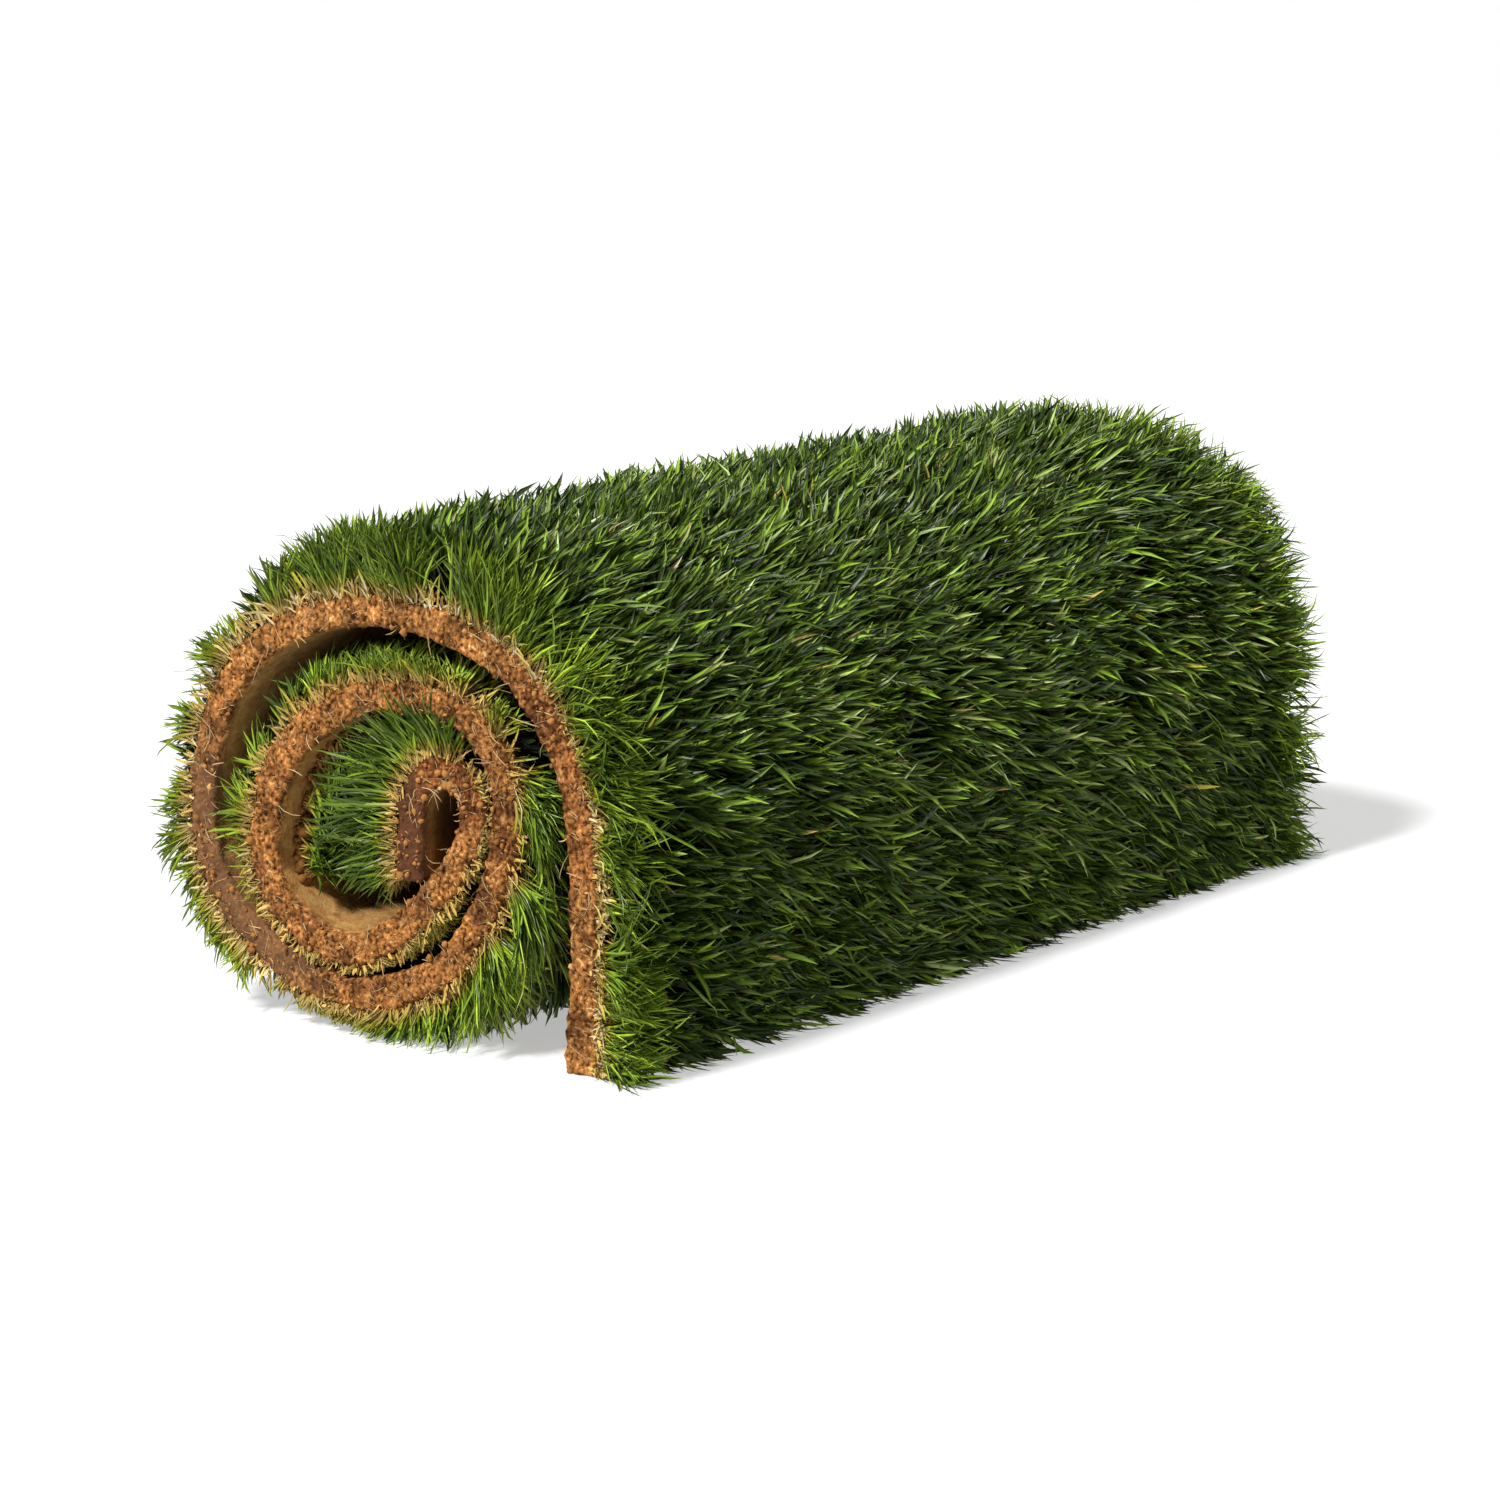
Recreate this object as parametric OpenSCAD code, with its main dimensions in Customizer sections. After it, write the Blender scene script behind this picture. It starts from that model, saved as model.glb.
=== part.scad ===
// Roll of turf: one strip of live turf, rolled up with the grass outwards.
// The roll lies along Y on the floor plane z = 0. Seen from -Y, the strip starts as a straight flap
// standing on the floor at the right, runs over the top, and winds inwards to a hooked inner end.

/* [Strip] */
// Width of the strip, which is the length of the roll
strip_w = 610; // [400:5:760]
// Thickness of the soil and roots under the grass
soil_t = 16; // [10:0.5:20]
// Height of the grass where nothing presses it
grass_h = 36; // [15:1:50]

/* [Outer turn] */
// Width over the outer turn, from its left side to the face of the flap, without the grass
outer_w = 252; // [205:1:320]
// Height of the outer turn's crest above the floor, without the grass
outer_h = 215.5; // [178:0.5:280]
// Height up to which the flap stands straight
flap_h = 95; // [60:1:110]
// Height to which the grass is pressed under the roll
press_h = 11; // [4:0.5:16]

/* [Room between the turns] */
// Room between the flap and the turn beside it
flap_gap = 30; // [10:1:40]
// Room above the middle turn
top_gap = 23.5; // [8:0.5:28]
// Room to the left of the middle turn
left_gap = 23; // [8:0.5:34]
// Room under the middle turn
bottom_gap = 5; // [3:0.5:10]
// Room between the hooked inner end and the turn to its right
hook_right_gap = 3.5; // [3:0.5:10]
// Room above the hooked inner end
hook_top_gap = 18.5; // [6:0.5:24]
// Clearance of the grass and of the inner end to the soil of the next turn
turn_clearance = 1; // [0.5:0.1:2]

/* [Inner end] */
// Width over the hook at the inner end
hook_w = 54.5; // [48:0.5:70]
// Height of the hook's bend on the side where it rises
hook_rise = 27.5; // [24:0.5:32]

/* [Hidden] */

// Straight pieces that each quarter bend is drawn with
bend_steps = 10;

// Where each turn bulges most, as a share of the way between its neighbouring extremes
outer_crest_share = 0.51;
outer_side_share = 0.425;
outer_belly_share = 0.5;
middle_right_share = 0.685;
middle_crest_share = 0.647;
middle_left_share = 0.347;
middle_belly_share = 0.42;
hook_crest_share = 0.54;
// Straight share of the inner end's way down from the hook's crest
hook_straight_share = 0.4;

// Fullness of each quarter bend: 0.55 is an ellipse, more is squarer, less is flatter
outer_full = 0.62;
round_full = 0.55;
lean_full = 0.35;
hook_full = 0.6;

function between(a, b, share) = a + (b - a) * share;

// A quarter bend is a cubic curve from point a to point b with its handles along X and Z.
// Each of its entries is [point, unit vector towards the inside of the roll].
function cubic(p, t) = pow(1 - t, 3) * p[0] + 3 * pow(1 - t, 2) * t * p[1]
    + 3 * (1 - t) * t * t * p[2] + pow(t, 3) * p[3];
function cubic_run(p, t) = pow(1 - t, 2) * (p[1] - p[0]) + 2 * (1 - t) * t * (p[2] - p[1])
    + t * t * (p[3] - p[2]);
function left_of(v) = [-v.y, v.x] / norm(v);
function bend(p) = [
    for (i = [1:bend_steps])
        [cubic(p, i / bend_steps), left_of(cubic_run(p, i / bend_steps))]
];

// A bend that starts upright at a and ends level at b, and one the other way round
function upright_to_level(a, b, full) =
    bend([a, [a.x, between(a.y, b.y, full)], [between(b.x, a.x, full), b.y], b]);
function level_to_upright(a, b, full) =
    bend([a, [between(a.x, b.x, full), a.y], [b.x, between(b.y, a.y, full)], b]);

// Points on the soil side of a bend
function soil_face(run) = [for (s = run) s[0] + soil_t * s[1]];

// Outer turn: points where the grass side of its soil turns upright or level
flap_x = outer_w / 2;
outer_left_x = -outer_w / 2;
flap_top = [flap_x, flap_h];
outer_crest = [between(outer_left_x, flap_x, outer_crest_share), outer_h];
outer_left = [outer_left_x, between(press_h, outer_h, outer_side_share)];

// Middle turn
middle_right_x = flap_x - soil_t - flap_gap;
middle_left_x = outer_left_x + soil_t + left_gap;
middle_crest_z = outer_h - soil_t - top_gap;
middle_belly_z = press_h + soil_t + bottom_gap;
outer_belly = [between(outer_left_x, middle_right_x, outer_belly_share), press_h];
middle_right = [middle_right_x, between(press_h, middle_crest_z, middle_right_share)];
middle_crest = [between(middle_left_x, middle_right_x, middle_crest_share), middle_crest_z];
middle_left = [middle_left_x, between(middle_belly_z, middle_crest_z, middle_left_share)];
middle_rise = level_to_upright(outer_belly, middle_right, round_full);
middle_over = upright_to_level(middle_right, middle_crest, round_full);

// The hook bends beside the right-hand soil face of the middle turn
hook_crest_z = middle_crest_z - soil_t - hook_top_gap;
hook_right_z = hook_crest_z - hook_rise;
middle_face = [for (p = soil_face(concat(middle_rise, middle_over))) [p.y, p.x]];
hook_right_x = lookup(hook_right_z, middle_face) - hook_right_gap;
hook_left_x = hook_right_x - hook_w;
middle_belly = [between(middle_left_x, hook_right_x, middle_belly_share), middle_belly_z];
hook_right = [hook_right_x, hook_right_z];
hook_crest = [between(hook_left_x, hook_right_x, hook_crest_share), hook_crest_z];
hook_approach = bend([
    middle_belly,
    [between(middle_belly.x, hook_right_x, lean_full), middle_belly_z],
    [hook_right_x, hook_right_z - hook_rise],
    hook_right
]);

// The inner end stands on the soil face of the turn that rises below it
rest_line = [for (p = soil_face(hook_approach)) [p.x, p.y]];
tip_z = lookup(hook_left_x + soil_t, rest_line) + turn_clearance;
hook_left = [hook_left_x, between(tip_z, hook_crest_z, hook_straight_share)];

// The strip from the foot of the flap to the inner end
strip = concat(
    [[[flap_x, 0], [-1, 0]], [flap_top, [-1, 0]]],
    upright_to_level(flap_top, outer_crest, outer_full),
    level_to_upright(outer_crest, outer_left, outer_full),
    upright_to_level(outer_left, outer_belly, round_full),
    middle_rise,
    middle_over,
    level_to_upright(middle_crest, middle_left, outer_full),
    upright_to_level(middle_left, middle_belly, round_full),
    hook_approach,
    upright_to_level(hook_right, hook_crest, hook_full),
    level_to_upright(hook_crest, hook_left, hook_full),
    [[[hook_left_x, tip_z], [1, 0]]]
);
half_turn = 2 * bend_steps;

last = len(strip) - 1;
grass_side = [for (s = strip) s[0]];
soil_side = soil_face(strip);

// Distance from point p to the straight line between a and b
function gap_to(p, a, b) =
    let (share = max(0, min(1, (p - a) * (b - a) / ((b - a) * (b - a)))))
    norm(p - between(a, b, share));

// Height that the grass at point i has before it meets the soil of an earlier turn
function room(i) = min([
    for (j = [0:max(0, i - half_turn)])
        gap_to(grass_side[i], soil_side[j], soil_side[j + 1]) - turn_clearance
]);
function blade_h(i) = i < half_turn ? grass_h : min(grass_h, room(i));

// Tops of the grass, which the floor holds up
function grass_top(i) =
    let (top = grass_side[i] - blade_h(i) * strip[i][1])
    [top.x, max(0, top.y)];
grass_tops = [for (i = [0:last]) grass_top(i)];

// A section in X and Z, drawn out along Y over the strip's width
module along_roll(outline) {
    rotate([90, 0, 0])
        linear_extrude(height = strip_w, center = true)
            polygon(outline);
}

function backwards(points) = [for (i = [len(points) - 1:-1:0]) points[i]];

module soil_mat() {
    color("saddlebrown")
        along_roll(concat(grass_side, backwards(soil_side)));
}

module grass_sward() {
    color("olivedrab")
        along_roll(concat(grass_tops, backwards(grass_side)));
}

soil_mat();
grass_sward();
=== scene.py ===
"""Roll of turf: the soil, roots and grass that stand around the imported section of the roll.

The strip is laid out by three coordinates, all in metres: s runs along the strip from the foot of
the flap to the inner end, y runs along the roll, and h is the height over the soil's grass side,
so that the soil fills h from -soil_t to 0 and the grass stands at h > 0.
"""

from math import cos, radians, sin, tau

import bpy
import numpy as np
from bpy.props import (
    FloatProperty,
    FloatVectorProperty,
    IntProperty,
    PointerProperty,
)
from mathutils import Matrix, Vector


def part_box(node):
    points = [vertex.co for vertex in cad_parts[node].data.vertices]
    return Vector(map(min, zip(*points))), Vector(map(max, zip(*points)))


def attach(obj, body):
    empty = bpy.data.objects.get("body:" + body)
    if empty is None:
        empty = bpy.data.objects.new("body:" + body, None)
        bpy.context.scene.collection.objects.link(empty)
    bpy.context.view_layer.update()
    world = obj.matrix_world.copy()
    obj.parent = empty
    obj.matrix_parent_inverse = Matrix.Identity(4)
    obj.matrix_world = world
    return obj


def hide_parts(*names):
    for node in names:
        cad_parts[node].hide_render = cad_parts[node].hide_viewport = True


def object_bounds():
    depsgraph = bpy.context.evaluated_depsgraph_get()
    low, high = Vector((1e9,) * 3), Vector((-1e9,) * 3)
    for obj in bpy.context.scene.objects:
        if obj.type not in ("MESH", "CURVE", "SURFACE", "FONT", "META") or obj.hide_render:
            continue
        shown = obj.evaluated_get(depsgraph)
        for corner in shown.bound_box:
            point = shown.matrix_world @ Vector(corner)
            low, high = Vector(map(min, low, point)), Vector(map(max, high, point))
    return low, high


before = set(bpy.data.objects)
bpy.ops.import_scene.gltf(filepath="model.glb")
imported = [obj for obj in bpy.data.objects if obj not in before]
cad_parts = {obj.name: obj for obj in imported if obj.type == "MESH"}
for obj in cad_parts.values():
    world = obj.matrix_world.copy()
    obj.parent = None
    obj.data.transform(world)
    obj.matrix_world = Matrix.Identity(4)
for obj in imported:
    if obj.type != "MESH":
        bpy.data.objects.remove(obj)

bl_info = {
    "name": "Roll of turf",
    "version": (1, 0, 0),
    "blender": (4, 5, 0),
    "location": "3D View > Sidebar > Turf",
    "description": "Grows the soil, the roots and the grass of a rolled-up strip of turf",
    "category": "Add Mesh",
}

CAD_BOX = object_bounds()
BODY = "root"
MM = 0.001
# The two cut ends, as signs of y
ENDS = (-1, 1)
# Name of the UV map that blades and fibres are painted through
PAINT_MAP = "OFBake"
# Number of tints that the blades share, side by side in the paint map
TINTS = 64
# From this share of the tints on, blades belong to the rim, with pale bases
RIM_TINTS = 0.76
# Height over the soil that the paint map covers, and the full canopy's height on it
PAINT_LENGTH = 64 * MM
CANOPY = 36 * MM
# How far blades may stand out of the CAD box along X, Y and Z, and over the floor
OVERHANG = (15 * MM, 24 * MM, 14 * MM)
FLOOR_GAP = 0.3 * MM
# Depth of the rim of finer blades at each cut end, and how deep an end shows the inner turns
RIM = 9 * MM
SEEN_DEPTH = 70 * MM
# Where along the strip the outer turn's underside ends and the inner turns begin
INNER_START = 0.83
# Steepest lean that a blade may have
FLATTEST = radians(88)
# How strongly a ribbon's steps shorten towards its tip
TIP_CROWDING = 1.6
# Where a ribbon's edges lie across its tint, and the highest place on the map that a tip may take
EDGES = (0.06, 0.94)
MAP_TOP = 0.995
# Blades of a lower canopy than this are painted as if it were this high
LOWEST_CANOPY = 12 * MM
# Points of the soil's grid along the strip, through the soil and from end to end of the roll
SOIL_POINTS = (861, 12, 33)
# Gap under the lowest soil, crumbs included
SOIL_GAP = 0.2 * MM
# What the camera looks at, and half the floor's width
AIM = Vector((0, -0.007, 0.0946))
FLOOR_HALF = 6.0
BLACK = (0.0, 0.0, 0.0)
WHITE = (1.0, 1.0, 1.0)


# Section of the roll, read from the frame


def end_outline(node):
    """Corners of a node's outline on its -Y end, in order, as rows of (x, z).

    A side triangle has one edge in the end's plane at most, and that edge leads from one corner
    to the next. Doubling the step, 1, 2, 4, 8 ..., puts all corners in order. The list starts at
    the foot of the flap, on the line between soil and grass."""
    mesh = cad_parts[node].data
    mesh.calc_loop_triangles()
    co = np.empty(len(mesh.vertices) * 3)
    mesh.vertices.foreach_get("co", co)
    tri = np.empty(len(mesh.loop_triangles) * 3, int)
    mesh.loop_triangles.foreach_get("vertices", tri)
    grid = np.round(co.reshape(-1, 3) / (0.01 * MM)).astype(int)
    grid, merged = np.unique(grid, axis=0, return_inverse=True)
    tri = merged.ravel()[tri].reshape(-1, 3)
    at_end = grid[:, 1] == grid[:, 1].min()
    start, stop, third = (np.roll(tri, -k, axis=1).ravel() for k in range(3))
    edge = at_end[start] & at_end[stop] & ~at_end[third]
    follower = np.full(len(grid), -1)
    follower[start[edge]] = stop[edge]
    foot = CAD_FOOT_X / (0.01 * MM)
    on_floor = np.flatnonzero(at_end & (grid[:, 2] == 0))
    order = on_floor[[np.argmin(abs(grid[on_floor, 0] - foot))]]
    while len(order) < edge.sum():
        order = np.concatenate([order, follower[order]])
        follower = follower[follower]
    points = grid[order[: edge.sum()]][:, [0, 2]] * 0.01 * MM
    if points[1, 1] == 0:  # it ran across the foot, so turn it round
        points = np.roll(points[::-1], 1, axis=0)
    return points


def smooth(knots, values, at):
    """Cubic curve through values at knots, with each knot's slope taken from its neighbours."""
    slopes = np.gradient(values, knots, axis=0)
    at = np.clip(at, knots[0], knots[-1])
    i = np.clip(np.searchsorted(knots, at) - 1, 0, len(knots) - 2)
    span = (knots[i + 1] - knots[i])[..., None]
    t = (at - knots[i])[..., None] / span
    return (
        (1 + 2 * t) * (1 - t) ** 2 * values[i]
        + t * (1 - t) ** 2 * span * slopes[i]
        + t * t * (3 - 2 * t) * values[i + 1]
        + t * t * (t - 1) * span * slopes[i + 1]
    )


CAD_FOOT_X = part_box("soil_mat")[1].x
SOIL = end_outline("soil_mat")
SWARD = end_outline("grass_sward")
ROWS = len(SOIL) // 2
GRASS_SIDE = SOIL[:ROWS]
SOIL_T = float(np.linalg.norm(SOIL[0] - SOIL[-1]))
KNOTS = np.concatenate([[0], np.cumsum(np.linalg.norm(np.diff(GRASS_SIDE, axis=0), axis=1))])
STRIP_L = float(KNOTS[-1])
# Room for the grass at each knot: how far away the sward's other side is
ROOM = np.linalg.norm(SWARD[::-1][:ROWS] - GRASS_SIDE, axis=1)
HALF_W = float(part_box("soil_mat")[1].y)
# Where the hook begins to turn in, and the stretch of wall that faces it across the pocket
HOOK_START = STRIP_L - 0.085
CLUMP = (STRIP_L - 0.42, STRIP_L - 0.305)


def frame_at(s):
    """Point on the grass side, and unit vectors along the strip and towards the grass, at s."""
    point = smooth(KNOTS, GRASS_SIDE, s)
    ahead = smooth(KNOTS, GRASS_SIDE, s + MM) - smooth(KNOTS, GRASS_SIDE, s - MM)
    ahead /= np.linalg.norm(ahead, axis=-1, keepdims=True)
    flat = np.zeros(np.shape(s))
    along = np.stack([ahead[..., 0], flat, ahead[..., 1]], -1)
    out = np.stack([ahead[..., 1], flat, -ahead[..., 0]], -1)
    return np.stack([point[..., 0], flat, point[..., 1]], -1), along, out


def place(s, y, h):
    """Point at s along the strip, y along the roll and h over the soil's grass side."""
    point, _, out = frame_at(s)
    point = point + out * np.asarray(h)[..., None]
    point[..., 1] = y
    return point


def room_at(s):
    """Height that the grass can stand at s."""
    return np.interp(s, KNOTS, ROOM)


# Noise, worked out from the place alone


def hashed(cells, seed):
    """A number from 0 to 1 for each whole-numbered cell, by multiplying and mixing its bits."""
    c = cells.astype(np.int64).astype(np.uint32)
    n = c[..., 0] * np.uint32(374761393) + c[..., 1] * np.uint32(668265263)
    n += c[..., 2] * np.uint32(2246822519) + np.uint32(seed * 97 + 13)
    for shift, factor in ((15, 2654435761), (13, 3266489917)):
        n = (n ^ (n >> np.uint32(shift))) * np.uint32(factor)
    return ((n ^ (n >> np.uint32(16))) & np.uint32(0xFFFFFF)) / float(0xFFFFFF)


def lumps(p, size, seed=0):
    """Smooth noise from -1 to 1: hashed corner values of cubes of a size, blended across each cube."""
    at = p / size
    low = np.floor(at)
    t = at - low
    t = t * t * (3 - 2 * t)
    total = 0.0
    for corner in np.ndindex(2, 2, 2):
        weight = np.prod(np.where(corner, t, 1 - t), axis=-1)
        total = total + weight * hashed(low + corner, seed)
    return total * 2 - 1


def clods(p, size, seed=0):
    """Cell noise: distance to the nearest of the points strewn one to a cube, over the size."""
    at = p / size
    low = np.floor(at)
    nearest = np.full(p.shape[:-1], 9.0)
    for corner in np.ndindex(3, 3, 3):
        cell = low + corner - 1
        spot = cell + np.stack([hashed(cell, seed + k) for k in (1, 2, 3)], -1)
        nearest = np.minimum(nearest, np.linalg.norm(spot - at, axis=-1))
    return nearest


def ease(low, high, x):
    """Smooth step: 0 below low, 1 above high."""
    t = np.clip((x - low) / (high - low), 0, 1)
    return t * t * (3 - 2 * t)


# Meshes and pieces


def add_piece(name, points, faces, material, node, paint=None, layers=None):
    """Makes a smooth mesh object from arrays, lets it ride on the roll and stand for a CAD node."""
    corners = faces.shape[1]
    mesh = bpy.data.meshes.new(name)
    mesh.vertices.add(len(points))
    mesh.vertices.foreach_set("co", np.ascontiguousarray(points, np.float32).ravel())
    mesh.loops.add(faces.size)
    mesh.loops.foreach_set("vertex_index", faces.astype(np.int32).ravel())
    mesh.polygons.add(len(faces))
    mesh.polygons.foreach_set("loop_start", np.arange(0, faces.size, corners, dtype=np.int32))
    mesh.polygons.foreach_set("use_smooth", np.full(len(faces), True))
    if paint is not None:
        layer = mesh.uv_layers.new(name=PAINT_MAP)
        layer.uv.foreach_set("vector", paint[faces.ravel()].astype(np.float32).ravel())
    for key, values in (layers or {}).items():
        layer = mesh.attributes.new(key, "FLOAT", "POINT")
        layer.data.foreach_set("value", np.ascontiguousarray(values, np.float32))
    mesh.materials.append(material)
    mesh.update()
    mesh.validate()
    piece = bpy.data.objects.new(name, mesh)
    bpy.context.scene.collection.objects.link(piece)
    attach(piece, BODY)
    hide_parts(node)


def add_painted(name, parts, material, node):
    """Makes one painted piece from parts, each a set of points, faces and paint."""
    points, faces, paint = zip(*parts)
    starts = np.cumsum([0] + [len(p) for p in points[:-1]])
    faces = np.concatenate([f + start for f, start in zip(faces, starts)])
    add_piece(name, np.concatenate(points), faces, material, node, np.concatenate(paint))


def grid_faces(rows, columns, first=0):
    """Quads of a grid whose corners are numbered row by row."""
    corner = first + (np.arange(rows - 1)[:, None] * columns + np.arange(columns - 1)).ravel()
    return np.stack([corner, corner + 1, corner + columns + 1, corner + columns], 1)


# Materials


class Shader:
    """A material's node tree, built from its Principled shader outwards."""

    def __init__(self, name, roughness, specular):
        self.material = bpy.data.materials.new(name)
        self.material.use_nodes = True
        self.tree = self.material.node_tree
        self.surface = self.tree.nodes["Principled BSDF"]
        self.surface.inputs["Roughness"].default_value = roughness
        self.surface.inputs["Specular IOR Level"].default_value = specular

    def add(self, kind, inputs=None, **settings):
        """A node with its settings and its inputs, each a value or another node's socket."""
        made = self.tree.nodes.new("ShaderNode" + kind)
        for key, value in settings.items():
            setattr(made, key, value)
        for key, value in (inputs or {}).items():
            self.plug(value, made.inputs[key])
        return made

    def plug(self, value, socket):
        """Sets a socket to a value, or links another node's socket to it."""
        if isinstance(value, bpy.types.NodeSocket):
            self.tree.links.new(value, socket)
        else:
            socket.default_value = value

    def math(self, operation, *values):
        """One sum, product or the like of values and sockets."""
        made = self.add("Math", operation=operation)
        for value, socket in zip(values, made.inputs):
            self.plug(value, socket)
        return made.outputs[0]

    def layer(self, name):
        """Values that a mesh carries from point to point under a name."""
        return self.add("Attribute", attribute_name=name).outputs["Fac"]

    def ramp(self, value, *stops):
        """Colours at places from 0 to 1, blended in between."""
        made = self.add("ValToRGB", {"Fac": value})
        band = made.color_ramp
        while len(band.elements) < len(stops):
            band.elements.new(0.5)
        for element, (at, tone) in zip(band.elements, stops):
            element.position = at
            element.color = (*tone, 1)
        return made.outputs["Color"]

    def mix(self, share, a, b, blend="MIX"):
        """Colour a with a share of colour b mixed in, or multiplied in."""
        made = self.add("Mix", data_type="RGBA", blend_type=blend)
        self.plug(share, made.inputs[0])
        for value, socket in ((a, made.inputs[6]), (b, made.inputs[7])):
            self.plug(value if isinstance(value, bpy.types.NodeSocket) else (*value, 1), socket)
        return made.outputs[2]

    def noise(self, size, detail=2.0):
        """Noise whose features have a size in metres, in the object's own coordinates."""
        where = self.add("TexCoord").outputs["Object"]
        made = self.add("TexNoise", {"Vector": where, "Scale": 1 / size, "Detail": detail})
        return made.outputs["Fac"]

    def bump(self, height, distance):
        """Relief on the surface, as deep as distance where height goes from 0 to 1."""
        made = self.add("Bump", {"Height": height, "Distance": distance, "Strength": 1.0})
        self.plug(made.outputs["Normal"], self.surface.inputs["Normal"])


def tones(group, *keys):
    """Colours of a settings group, as arrays that can be made darker or paler."""
    return (np.array(getattr(group, key + "_colour")) for key in keys)


def soil_material(soil):
    """Crumbly soil: dark pits, mid browns and pale grains, plainer and paler on the knife-cut face."""
    made = Shader("root_bound_soil", roughness=0.95, specular=0.15)
    face = made.layer("knife_face")
    smeared = made.layer("dry_smear")
    grain = made.noise(2.1 * MM, detail=4)
    patch = made.noise(15 * MM)
    dusky = made.layer("dusk")
    dark, mid, pale = tones(soil, "pit", "mid", "pale")
    crumb = made.ramp(
        grain, (0.36, dark), (0.42, mid * 0.5), (0.52, mid), (0.6, mid * 1.3), (0.68, pale),
    )
    shade = made.ramp(patch, (0.36, (0.36, 0.31, 0.29)), (0.62, (1.28, 1.2, 1.14)))
    crumb = made.mix(1.0, crumb, shade, "MULTIPLY")
    plain = made.noise(5 * MM)
    plain = made.ramp(plain, (0.3, mid * (0.95, 0.98, 1.0)), (0.7, pale * (0.72, 0.68, 0.6)))
    colour = made.mix(made.math("MULTIPLY", face, 0.8), crumb, plain)
    colour = made.mix(made.math("MULTIPLY", smeared, 0.75), colour, tuple(soil.smear_colour))
    colour = made.mix(dusky, colour, made.mix(1.0, colour, (0.55, 0.42, 0.42), "MULTIPLY"))
    # Painted shade: near black under the blades and inside the hook
    colour = made.mix(made.layer("painted_shade"), colour, (0.008, 0.006, 0.002))
    made.plug(colour, made.surface.inputs["Base Color"])
    made.bump(made.noise(1.3 * MM, detail=3), 0.5 * MM)
    return made.material


def painted_material(name, colours, roughness, specular, keel):
    """Blades and fibres: colour by height over the root and by tint, both read from the paint map.

    The map's width holds the tints side by side. Within a tint it runs from one edge of the blade
    to the other, and the fold along the blade's middle is a bump over that."""
    made = Shader(name, roughness, specular)
    uv = made.add("SeparateXYZ", {0: made.add("UVMap", uv_map=PAINT_MAP).outputs[0]})
    column = made.math("MULTIPLY", uv.outputs[0], float(TINTS))
    across = made.math("FRACT", column)
    tint = made.math("DIVIDE", made.math("FLOOR", column), float(TINTS - 1))
    height = uv.outputs[1]
    made.plug(colours(made, tint, height, across), made.surface.inputs["Base Color"])
    fold = made.math("ABSOLUTE", made.math("SUBTRACT", across, 0.5))
    made.bump(made.math("MULTIPLY", fold, 2.0), keel)
    return made.material


def on_map(height):
    """A height over the soil as its place on the paint map."""
    return height / PAINT_LENGTH


def grass_material(grass):
    """Green blades: painted shade, near black, low down in the sward, or pale at the rim, then green,
    some of them dry.
    """
    deep, fresh, lime, straw, dead = tones(grass, "deep", "fresh", "lime", "straw", "dead")

    def colours(made, tint, height, across):
        green = made.ramp(
            tint,
            (0.0, deep * 0.25),
            (0.2, deep),
            (0.44, fresh),
            (0.58, fresh * 2.2),
            (0.66, (0.42, 0.52, 0.18)),
            (0.69, lime),
            (0.72, straw * 0.8),
            (RIM_TINTS - 0.01, dead),
            (RIM_TINTS, deep * 0.9),
            (0.88, fresh * 1.5),
            (1.0, fresh * (3.8, 3.2, 3.0)),
        )
        # Painted shade low in the sward: near black up to 14 mm, deep green by 24 mm
        shaded = made.ramp(
            height,
            (0.0, (0.004, 0.005, 0.001)),
            (on_map(14 * MM), (0.004, 0.008, 0.001)),
            (on_map(24 * MM), deep * 0.6),
        )
        pale = made.ramp(
            height,
            (0.0, straw * (0.9, 0.7, 0.45)),
            (on_map(2 * MM), straw * 0.9),
            (on_map(7 * MM), lime * 0.8),
            (on_map(13 * MM), fresh * 2.0),
        )
        rim = made.math("GREATER_THAN", tint, RIM_TINTS - 0.005)
        young = made.ramp(height, (on_map(4 * MM), BLACK), (on_map(15 * MM), WHITE))
        # How far a blade has risen out of its painted shade
        above_shade = made.ramp(height, (on_map(14 * MM), BLACK), (on_map(31 * MM), WHITE))
        colour = made.mix(made.mix(rim, above_shade, young), made.mix(rim, shaded, pale), green)
        # Painted shade and highlight across each blade: one half darker, a pale streak along the middle
        # fold
        fold_shade_and_highlight = made.ramp(across, (0.40, (0.6,) * 3), (0.5, (1.25, 1.2, 1.2)), (0.62, (1.05,) * 3))
        return made.mix(1.0, colour, fold_shade_and_highlight, "MULTIPLY")

    return painted_material("grass_blades", colours, 0.38, 0.34, 0.9 * MM)


def straw_material(grass):
    """Stem bases at the cut ends: whitish at the root, straw, and lime towards the tip."""
    straw, lime = tones(grass, "straw", "lime")

    def colours(made, tint, height, across):
        shade = made.ramp(tint, (0.0, straw * (0.75, 0.6, 0.4)), (0.5, straw), (1.0, (0.85, 0.74, 0.5)))
        tip = made.ramp(tint, (0.0, lime * 0.7), (1.0, lime * 1.25))
        share = made.ramp(height, (on_map(5 * MM), BLACK), (on_map(12 * MM), WHITE))
        return made.mix(share, shade, tip)

    return painted_material("straw_stems", colours, 0.6, 0.3, 0.4 * MM)


def root_material(soil):
    """Fine roots, from brown to cream."""
    (root,) = tones(soil, "root")

    def colours(made, tint, height, across):
        return made.ramp(tint, (0.0, root * 0.5), (1.0, root))

    return painted_material("root_fibres", colours, 0.8, 0.2, 0.1 * MM)


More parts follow.
